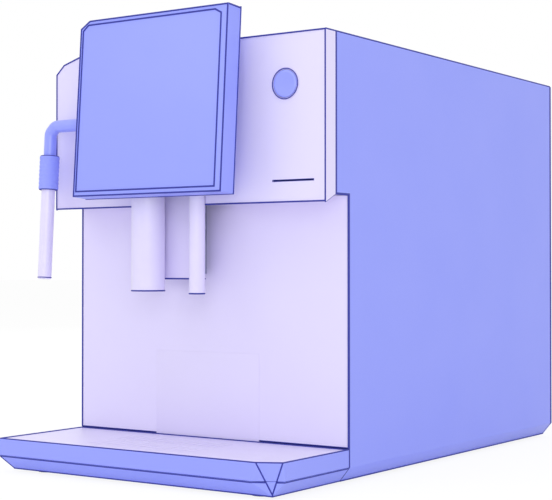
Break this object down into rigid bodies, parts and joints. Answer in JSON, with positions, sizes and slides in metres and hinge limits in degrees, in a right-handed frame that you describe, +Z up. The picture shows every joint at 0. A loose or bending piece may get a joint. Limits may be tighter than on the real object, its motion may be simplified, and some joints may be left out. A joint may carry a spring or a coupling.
{
  "type": "hot coffee vending machine",
  "caption": "Counter-top bean-to-cup hot coffee machine with a tilting touch screen, height-adjustable outlets, swinging steam wand and a pull-out drip tray.",
  "frame": {"origin": "centre of the whole machine's outline, on the counter", "axes": "+X to the user's right, +Y from the front to the rear, +Z up"},
  "size_m": [0.396, 0.696, 0.5314],
  "materials": {
    "panel": "fine-textured powder coat, periwinkle",
    "pale": "satin moulded, pale lavender",
    "dark": "matt indigo elastomer",
    "hose": "translucent white silicone",
    "glass": "coated cover glass, periwinkle",
    "steel": "brushed",
    "brass": "spun brass",
    "black": "moulded, glass-filled",
    "smoke": "tinted, polished",
    "zinc": "zinc-plated sheet"
  },
  "bodies": {
    "frame": {"base_pan": "panel", "bean_hopper": "smoke", "brew_chamber": "pale", "brew_frame": "black", "brew_motor": "zinc", "button_bezel": "dark", "button_switch": "black", "card_reader": "black", "coffee_boiler": "brass", "control_box": "zinc", "display_bracket": "steel", "display_hinge_pin": "steel", "equipment_shelf": "zinc", "fan_frame": "black", "foot_front_left": "dark", "foot_front_right": "dark", "foot_rear_left": "dark", "foot_rear_right": "dark", "grinder_bracket": "zinc", "grinder_housing": "black", "grinder_motor": "zinc", "head_shell": "pale", "left_side_panel": "panel", "lid_hinge_pin": "steel", "mid_bulkhead": "zinc", "outlet_rail": "steel", "power_inlet": "black", "pump": "black", "rear_panel": "panel", "recess_panel": "pale", "right_side_panel": "panel", "steam_boiler": "steel", "steam_hose": "hose", "top_cover": "panel", "upper_burr": "steel", "wand_boss": "pale", "water_hose": "hose", "water_inlet_valve": "black"},
    "display": {"display_housing": "panel", "display_rear_cover": "panel", "display_glass": "glass", "display_panel": "black"},
    "outlets": {"outlet_carriage": "pale", "coffee_outlet": "pale", "coffee_nozzle": "black", "hot_water_outlet": "pale"},
    "wand": {"wand_arm": "panel", "wand_grip": "panel", "wand_tube": "pale", "wand_nozzle": "steel"},
    "button": {"start_button": "panel"},
    "tray": {"drip_tray": "panel", "grounds_bin": "pale"},
    "grid": {"drip_grid": "pale"},
    "lid": {"hopper_lid": "smoke"},
    "burr": {"lower_burr": "steel"},
    "piston": {"brew_piston": "steel"},
    "spindle": {"brew_spindle": "steel"},
    "fan": {"fan_rotor": "black"},
    "rocker": {"power_rocker": "dark"}
  },
  "joints": [
    {"name": "display_tilt", "type": "hinge", "parent": "frame", "child": "display", "pos_m": [-0.0071, -0.2645, 0.47], "axis": [-1, 0, 0], "range_deg": [0, 35]},
    {"name": "outlet_height", "type": "slide", "parent": "frame", "child": "outlets", "axis": [0, 0, -1], "range_m": [0, 0.06]},
    {"name": "wand_swing", "type": "hinge", "parent": "frame", "child": "wand", "pos_m": [-0.14, -0.274, 0.4128], "axis": [-1, 0, 0], "range_deg": [-3, 60]},
    {"name": "button_press", "type": "slide", "parent": "frame", "child": "button", "axis": [0, 1, 0], "range_m": [0, 0.003], "stiffness_N_per_m": 700},
    {"name": "tray_pull", "type": "slide", "parent": "frame", "child": "tray", "axis": [0, -1, 0], "range_m": [0, 0.17]},
    {"name": "grid_lift", "type": "slide", "parent": "tray", "child": "grid", "axis": [0, 0, 1], "range_m": [0, 0.04]},
    {"name": "lid_open", "type": "hinge", "parent": "frame", "child": "lid", "pos_m": [0.07, -0.013, 0.5036], "axis": [-1, 0, 0], "range_deg": [0, 100]},
    {"name": "burr_spin", "type": "hinge", "parent": "frame", "child": "burr", "pos_m": [0.085, -0.092, 0.37], "axis": [0, 0, 1], "continuous": true},
    {"name": "piston_travel", "type": "slide", "parent": "frame", "child": "piston", "axis": [0, 0, -1], "range_m": [0, 0.03]},
    {"name": "spindle_turn", "type": "hinge", "parent": "frame", "child": "spindle", "pos_m": [-0.06, -0.052, 0.33], "axis": [0, 0, 1], "range_deg": [0, 541]},
    {"name": "fan_spin", "type": "hinge", "parent": "frame", "child": "fan", "pos_m": [-0.1, 0.328, 0.42], "axis": [0, 1, 0], "continuous": true},
    {"name": "rocker_flip", "type": "hinge", "parent": "frame", "child": "rocker", "pos_m": [0.085, 0.342, 0.064], "axis": [-1, 0, 0], "range_deg": [0, 16]}
  ],
  "couplings": [
    {"joint": "spindle_turn", "follows": "piston_travel", "rad_per_m": 314.16}
  ]
}
